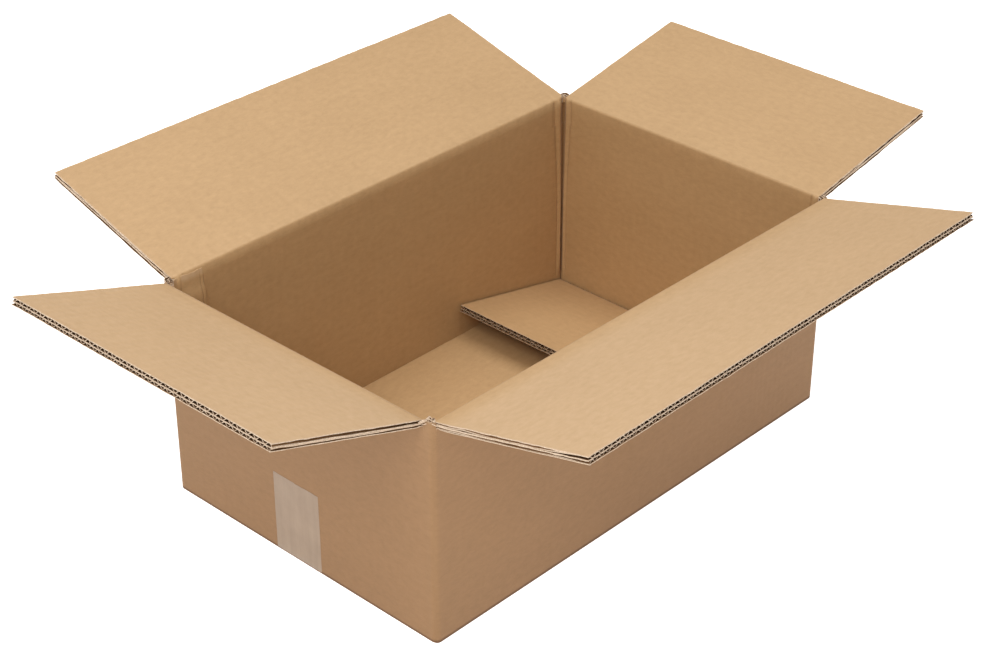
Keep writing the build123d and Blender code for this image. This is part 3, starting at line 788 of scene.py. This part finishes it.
def add_post(mk, k, sx, sy, end_x, end_y, in_x, in_y, tall, base_z):
    """A corner between two flaps: the folded wall up to the foot of the slot, and
    its five papers, cut and frayed."""
    # the wall: outside round the arc, inside over the beads to the corner and back
    n_side = 9
    o, at = corner_line(sx, sy, 0.0, 2 * n_side + 1, end_x, end_y, in_x, in_y)
    dx = np.linspace(IL - in_x, 0, n_side + 1)
    dy = np.linspace(0, IW - in_y, n_side + 1)[1:]
    inner = np.concatenate([np.stack([IL - dx, IW - bead(dx, True)], 1), np.stack([IL - bead(dy, False), IW - dy], 1)])
    inner[n_side] = (IL + 1.24, IW + 1.24)
    inner = inner * np.array([sx, sy])
    zs = [JOIN_Z, 172, 179, 183.5, base_z - (0.35 if k == 0 else 1.3)]
    O = np.array([np.column_stack([o, np.full(len(o), z)]) for z in zs])
    I = np.array([np.column_stack([inner, np.full(len(o), z)]) for z in zs])
    O[-1, :, 2] += 0.4 * noise(at / 1.3, 0, 900 + k)
    I[-1, :, 2] += 0.4 * noise(at / 1.3, 0, 910 + k)
    uv = np.stack([np.broadcast_to(at + 300 * k, O.shape[:2]), O[..., 2]], -1)
    # painted highlight on the round corner outside, painted shade in the fold inside
    wear = np.broadcast_to(0.07 * np.exp(-(((at - at[n_side]) / 4.0) ** 2)), O.shape[:2])
    dark = np.concatenate([painted_fold_shade(dx, True), painted_fold_shade(dy, False)])
    mk.sheet(O, I, uv, (KRAFT_OUT, KRAFT_IN, CUT), wear, wear_low=-dark[None, :])
    n = 40
    for j, (a, b, high) in enumerate(((0.02, 0.62, 1.0), (2.45, 3.1, 0.35), (5.3, 5.9, 0.8))):
        o, at = corner_line(sx, sy, a, n, end_x, end_y, in_x, in_y)
        i, _ = corner_line(sx, sy, b, n, end_x, end_y, in_x, in_y)
        # frayed: torn higher in places, and bent a little
        zt = base_z + tall * (high + 0.75 * noise(at / 1.5, 0, 90 + 7 * k + j) + 0.6 * noise(at / 4.0, 0, 190 + 7 * k + j))
        lean = 0.35 * tall * noise(at / 2.3, 0, 390 + 7 * k + j)
        away = np.array([sx, sy]) / math.sqrt(2)
        zs = [184.5, 186.3, None]
        O = np.array([np.column_stack([o + away * (lean[:, None] if z is None else 0), np.full(n, z) if z else zt]) for z in zs])
        I = np.array([np.column_stack([i + away * (lean[:, None] if z is None else 0), np.full(n, z) if z else zt - 0.15]) for z in zs])
        uv = np.stack([np.broadcast_to(at + 300 * k, (3, n)), O[..., 2]], -1)
        wear = np.array([0.0, 0.1, 0.9])[:, None] * np.ones(n)
        mk.sheet(O, I, uv, (KRAFT_OUT if j == 0 else WAVE, KRAFT_IN if j == 2 else WAVE, CUT), wear)
    for j, (lo, hi, pitch) in enumerate(((0.55, 2.5, 5.2), (3.15, 5.35, 6.4))):
        n2 = 60
        mid, amp = (lo + hi) / 2, (hi - lo) / 2 - 0.15
        base, at = corner_line(sx, sy, mid, n2, end_x, end_y, in_x, in_y)
        g = np.sin(2 * np.pi * at / pitch + k + 2 * j)
        tang = np.gradient(base, axis=0)
        nn = np.stack([tang[:, 1], -tang[:, 0]], 1)
        nn /= np.linalg.norm(nn, axis=1)[:, None]
        zt = base_z - 0.3 + 0.6 * tall * noise(at / 1.5, 0, 290 + 7 * k + j)
        O = np.array([np.column_stack([base + nn * (amp * g + 0.25)[:, None], np.full(n2, z) if z else zt]) for z in (185.0, None)])
        I = np.array([np.column_stack([base + nn * (amp * g - 0.25)[:, None], np.full(n2, z) if z else zt]) for z in (185.0, None)])
        uv = np.stack([np.broadcast_to(at + 300 * k, (2, n2)), O[..., 2]], -1)
        kind = CUT if k == 0 else WAVE
        mk.sheet(O, I, uv, (kind, kind, CUT))


def ribbon(mk, pts, across, thick=0.3, bow=0.0):
    """A strip of torn paper along pts, as wide as the vector across."""
    pts, across = np.array(pts, float), np.array(across, float)
    seg = np.concatenate([[0], np.cumsum(np.linalg.norm(np.diff(pts, axis=0), axis=1))])
    at = np.linspace(0, seg[-1], 3 * len(pts))
    line = np.stack([np.interp(at, seg, pts[:, i]) for i in range(3)], 1)
    tang = np.gradient(line, axis=0)
    nrm = np.cross(tang, across)
    nrm /= np.linalg.norm(nrm, axis=1)[:, None]
    w = np.linspace(-0.5, 0.5, 4)
    taper = 0.75 + 0.25 * noise(at / 1.1, 0, 777)
    mid = line[None] + w[:, None, None] * across * taper[None, :, None] + nrm[None] * (bow * (1 - 4 * w ** 2))[:, None, None]
    uv = np.stack(np.meshgrid(at + 8000, w * np.linalg.norm(across)), -1)
    mk.sheet(mid + nrm[None] * thick / 2, mid - nrm[None] * thick / 2, uv, (CUT, CUT, CUT))


def add_torn(mk):
    """Paper torn loose at the foot of the slot of the front left corner."""
    ribbon(mk, [(-230.2, -134.0, 188.7), (-227.5, -134.6, 188.9), (-225.2, -135.8, 188.9)], (-0.4, -0.3, 2.6), 0.3, 0.3)
    ribbon(mk, [(-225.2, -135.8, 189.3), (-224.3, -136.8, 191.6), (-223.5, -137.9, 192.6), (-222.7, -138.9, 191.9), (-222.6, -139.9, 189.4)], (-1.0, -0.9, 0.5), 0.35, 0.2)
    ribbon(mk, [(-225.9, -133.2, 185.3), (-225.8, -134.8, 185.9), (-225.5, -136.9, 187.4)], (-0.3, 0.0, 0.9), 0.3, 0.1)
    ribbon(mk, [(-224.9, -141.6, 188.8), (-224.0, -142.6, 188.1), (-222.3, -143.2, 186.6)], (-0.1, -0.4, 1.0), 0.3, 0.1)
    ribbon(mk, [(-223.6, -139.8, 189.4), (-223.0, -141.0, 190.1), (-222.0, -142.0, 189.3)], (-0.5, -0.3, 0.9), 0.3, 0.1)


def build_tab():
    """The glue tab: the left wall's sheet carried round the corner and glued inside the back wall."""
    x = np.concatenate([np.linspace(-IL + 0.3, -IL + 2, 4), np.linspace(-IL + 3, -195.6, 12), [-194.6, -194.0, -193.7, -193.4, -193.1, -192.8, -192.2, -191.5, -191.0, -190.6, -190.4, -190.1, -189.9]])
    mk = Maker()
    top = 187.4 - 0.02 * (x + IL) + 0.45 * noise(x / 3.0, 0, 401)
    low = 8.0 + 0.15 * (x + IL)
    t = np.concatenate([np.linspace(0, 0.86, 14), [0.89, 0.92, 0.94, 0.965, 0.985, 1.0]])
    Z = low[None, :] + (top - low)[None, :] * t[:, None]
    X = np.broadcast_to(x, Z.shape)
    thick = 2.5 - 2.3 * smooth((X + 190.6) / 0.6) - 0.25 * smooth((X + 193.4) / 1.0)
    thick = thick - 0.75 * np.exp(-(((X + 193.4) / 0.4) ** 2)) + 0.08 * noise(X / 9.0, Z / 30.0, 403)
    thick = np.maximum(thick * (1 - 0.86 * smooth((Z - 168) / 10)), 0.12)
    lean = 1.9 * np.clip((Z - 179.9) / 9.0, 0, 1) ** 2 * smooth((X + IL) / 6.0)
    front = np.stack([X, IW + lean - thick, Z], -1)
    back = np.stack([X, IW + lean + 0.3, Z], -1)
    # painted shade lines at the pressed groove and where the tab's cut edge meets the wall; the top cut edge is paler
    shade_lines = np.exp(-(((X + 193.4) / 0.35) ** 2)) + smooth((X + 190.9) / 0.5)
    wear = -0.55 * shade_lines * (0.7 + 0.3 * noise(Z / 6.0, 0, 404)) + 0.45 * smooth((t[:, None] - 0.965) / 0.02) * (0.6 + 0.4 * noise(X / 2.0, 0, 405))
    mk.sheet(front, back, np.stack([X + 3000, Z], -1), (KRAFT_IN, WAVE, KRAFT_IN), np.clip(wear, -1, 1))
    return mk.make("glue_tab", BOARDS)


def build_floor():
    mk = Maker()
    for s in (-1, 1):
        y = s * np.concatenate([[0.4, 0.8, 2.0], np.linspace(8, 118, 12), [124, 129, 131.5, 134.0, 135.1, 135.9, 136.5]])
        x = np.linspace(-IL + 0.2, IL - 0.2, 56)
        X, Y = np.meshgrid(x, y)
        sag = 0.35 * noise(X / 90.0, Y / 60.0, 500 + s)
        dip = 1.1 * np.exp(-(((np.abs(Y) - 136.8) / 1.1) ** 2)) + 0.25 * np.exp(-(((np.abs(Y) - 132.7) / 1.2) ** 2))
        top = np.stack([X, Y, FLOOR_TOP + np.minimum(sag, 0.15) * smooth((137 - np.abs(Y)) / 20) - dip], -1)
        under = FLOOR_Z * smooth((131.5 - np.abs(Y)) / 2.5)
        low = np.stack([X, Y, under], -1)
        uv = np.stack([X + 5000, Y * 1.0 + 700], -1)
        uv2 = np.stack([X + 7000, Y * 1.0 + 700], -1)
        mk.sheet(top, low, uv, (KRAFT_IN, KRAFT_OUT, CUT), None, uv_low=uv2)
    return mk.make("bottom_panels", BOARDS)


def build_tape():
    mk = Maker()
    t0, w = 2.2, 49.0
    ease = [0, 22.5, 45, 67.5, 90]
    path = []
    for z in np.linspace(70.8, 8, 16):
        path.append((-HL, z, -1.0, 0.0))
    for a in ease:
        r = 1.6
        path.append((-HL + r - r * math.cos(math.radians(a)), FLOOR_Z + r - r * math.sin(math.radians(a)), -math.cos(math.radians(a)), -math.sin(math.radians(a))))
    for x in np.linspace(-HL + 8, HL - 8, 44):
        path.append((x, FLOOR_Z, 0.0, -1.0))
    for a in ease[::-1]:
        r = 1.6
        path.append((HL - r + r * math.cos(math.radians(a)), FLOOR_Z + r - r * math.sin(math.radians(a)), math.cos(math.radians(a)), -math.sin(math.radians(a))))
    for z in np.linspace(8, 69.0, 16):
        path.append((HL, z, 1.0, 0.0))
    path = np.array(path)
    seg = np.concatenate([[0], np.cumsum(np.hypot(np.diff(path[:, 0]), np.diff(path[:, 1])))])
    v = np.linspace(-1, 1, 21)
    V, S = np.meshgrid(v, seg)
    edge = 0.15 * noise(S / 40.0, V, 601)
    Y = t0 + V * (w / 2) + edge * (np.abs(V) > 0.99)
    px, pz, nx, nz = (np.broadcast_to(path[:, i][:, None], V.shape) for i in range(4))
    # follows the wall's own unevenness
    base_run = np.where(nx < 0, LENGTH * 2 + WIDTH + (IW - Y), LENGTH + (Y + IW))
    w_off = np.where(np.abs(nx) > 0.99, wall_wave(base_run, pz, 30) * smooth((IW - np.abs(Y) - 6) / 25), 0.0)
    end = np.minimum(S, seg[-1] - S)
    bubble = 0.03 * np.clip(noise(Y / 3.0, S / 9.0, 602), 0, 1)
    lo = 0.015 + w_off
    hi = 0.065 + bubble + w_off + 0.02 * (np.abs(V) < 0.97)
    # a slightly stepped, torn end
    torn = 0.35 * noise(Y / 0.9, 0, 603) * (end < 0.01)
    pz2 = pz + torn
    top = np.stack([px + nx * hi, Y, pz2 + nz * hi], -1)
    low = np.stack([px + nx * lo, Y, pz2 + nz * lo], -1)
    uv = np.stack([Y + 9000, S], -1)
    mk.sheet(top, low, uv, (0, 0, 0))
    return mk.make("sealing_tape", [tape_material()])


# ----------------------------------------------------------------------- pieces
# start_c and start_b put the waves' phase at the near cut
flaps = {
    "front": (FoldFlap("front_flap_board", (0, -1), HW, 14.87, 188.87, 140.33, (-221.5, 220.0), (-221.0, 219.3), (-217.5, 217.5), 11,
                       pinch=0.0, bend_r=7.6, wander=1.7, press=0.35, painted_sheen=0.42, twist=0.74, rise=0.81, skew=-1.0, start_c=-221.0, start_b=-220.2, lean_c=0.006, lean_b=-0.005, wild=0.6), (HW - 1.2, 187.55)),
    "back": (FoldFlap("back_flap_board", (0, 1), HW, 16.13, 189.52, 141.59, (-218.9, 220.9), (-218.1, 220.3), (-217.5, 217.5), 12,
                      pinch=1.9, bend_r=2.0, twist=-0.83), (HW - 1.2, 187.55)),
    "left": (FoldFlap("left_flap_board", (-1, 0), HL, 18.76, 187.85, 142.82, (-133.3, 136.7), (-133.3, 137.2), (-132.8, 135.0), 13,
                      pinch=0.0, bend_r=13.4, wander=0.9, press=0.2, painted_sheen=0.38, twist=-0.46, rise=-0.66, start_c=-130.9, start_b=-136.2, lean_c=0.005, lean_b=-0.004, wild=0.5), (HL - 1.0, 182.9)),
    "right": (FoldFlap("right_flap_board", (1, 0), HL, 10.62, 189.44, 143.04, (-135.6, 135.9), (-135.6, 135.9), (-135.0, 135.0), 14,
                       pinch=0.7, bend_r=2.4, twist=0.43), (HL - 1.0, 184.5)),
}
for side, (flap, (axis_r, axis_z)) in flaps.items():
    obj = flap.build()
    a = flap.o * axis_r + np.array([0, 0, axis_z])
    direction = flap.o * flap.c + np.array([0, 0, flap.s])
    reach = 6.5
    end = (a + direction * reach) * 0.001
    tuple(end)
    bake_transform(obj)
    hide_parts(f"top_flap_{side}")
    if side == "back":
        tab = build_tab()
        tuple(end)
        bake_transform(tab)

walls = build_walls()
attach(walls, "box")
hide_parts("carton_body")
panels = build_floor()
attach(panels, "box")
tape = build_tape()
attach(tape, "box")
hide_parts("bottom_tape")

for side, sign, lift, lo_y, hi_y, dip, seed in (("left", -1, 0.0, -135.3, 132.1, 0.6, 21), ("right", 1, 10.3, -135.3, 135.3, 4.15, 22)):
    obj = LooseFlap(f"{side}_bottom_flap_board", sign, lift, lo_y, hi_y, 134.6, dip, seed).build()
    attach(obj, f"{side}_bottom_flap")
    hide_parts(f"bottom_flap_{side}")


# ------------------------------------------------------------------------ stage
def build_stage():
    me = bpy.data.meshes.new("studio_floor")
    n, r = 24, 7.0
    xs = np.linspace(-r, r, n)
    X, Y = np.meshgrid(xs, xs)
    v = np.stack([X.ravel(), Y.ravel(), np.full(X.size, -0.00005)], 1)
    ids = np.arange(n * n).reshape(n, n)
    f = np.stack([ids[:-1, :-1].ravel(), ids[:-1, 1:].ravel(), ids[1:, 1:].ravel(), ids[1:, :-1].ravel()], 1)
    me.from_pydata(v.tolist(), [], f.tolist())
    o = bpy.data.objects.new("studio_floor", me)
    bpy.context.scene.collection.objects.link(o)
    m, t, p = new_material("studio_floor")
    p.inputs["Base Color"].default_value = (0.80, 0.80, 0.80, 1.0)
    p.inputs["Emission Color"].default_value = (1.0, 1.0, 1.0, 1.0)
    p.inputs["Emission Strength"].default_value = 1.05
    p.inputs["Roughness"].default_value = 0.9
    p.inputs["Specular IOR Level"].default_value = 0.1
    me.materials.append(m)


def area(name, loc, target, size, power, color=(1, 1, 1)):
    d = bpy.data.lights.new(name, "AREA")
    d.shape = "DISK"
    d.size = size
    d.energy = power
    d.color = color
    o = bpy.data.objects.new(name, d)
    o.location = loc
    o.rotation_mode = "QUATERNION"
    o.rotation_quaternion = (Vector(target) - Vector(loc)).to_track_quat("-Z", "Y")
    bpy.context.scene.collection.objects.link(o)
    return o


build_stage()
area("key_softbox", (-1.20, -0.50, 1.45), (0, 0, 0.1), 1.1, 15.0)
area("top_softbox", (0.32, 0.28, 2.85), (0, 0, 0.1), 2.2, 46.0)

world = bpy.data.worlds.new("studio")
bpy.context.scene.world = world
world.use_nodes = True
bg = world.node_tree.nodes["Background"]
bg.inputs["Color"].default_value = (1.0, 1.0, 1.0, 1.0)
bg.inputs["Strength"].default_value = 0.40
bpy.context.scene.view_settings.view_transform = "Standard"
bpy.context.scene.view_settings.look = "None"

# ----------------------------------------------------------------------- camera
cam_data = bpy.data.cameras.new("camera")
cam_data.sensor_width = 36.0
cam_data.lens = 2177.762 * 36.0 / 984.0
cam_data.dof.use_dof = False
cam_data.clip_start, cam_data.clip_end = 0.05, 50.0
camera = bpy.data.objects.new("camera", cam_data)
bpy.context.scene.collection.objects.link(camera)
turn = np.array([1.974787, -0.851273, 0.480044])
ang = float(np.linalg.norm(turn))
R = Matrix.Rotation(ang, 3, Vector(turn / ang))
place = Matrix.Identity(4)
for i in range(3):
    place[i][0], place[i][1], place[i][2] = R[0][i], -R[1][i], -R[2][i]
place[0][3], place[1][3], place[2][3] = -1.079943, -1.006162, 0.995385
camera.matrix_world = place
bpy.context.scene.camera = camera
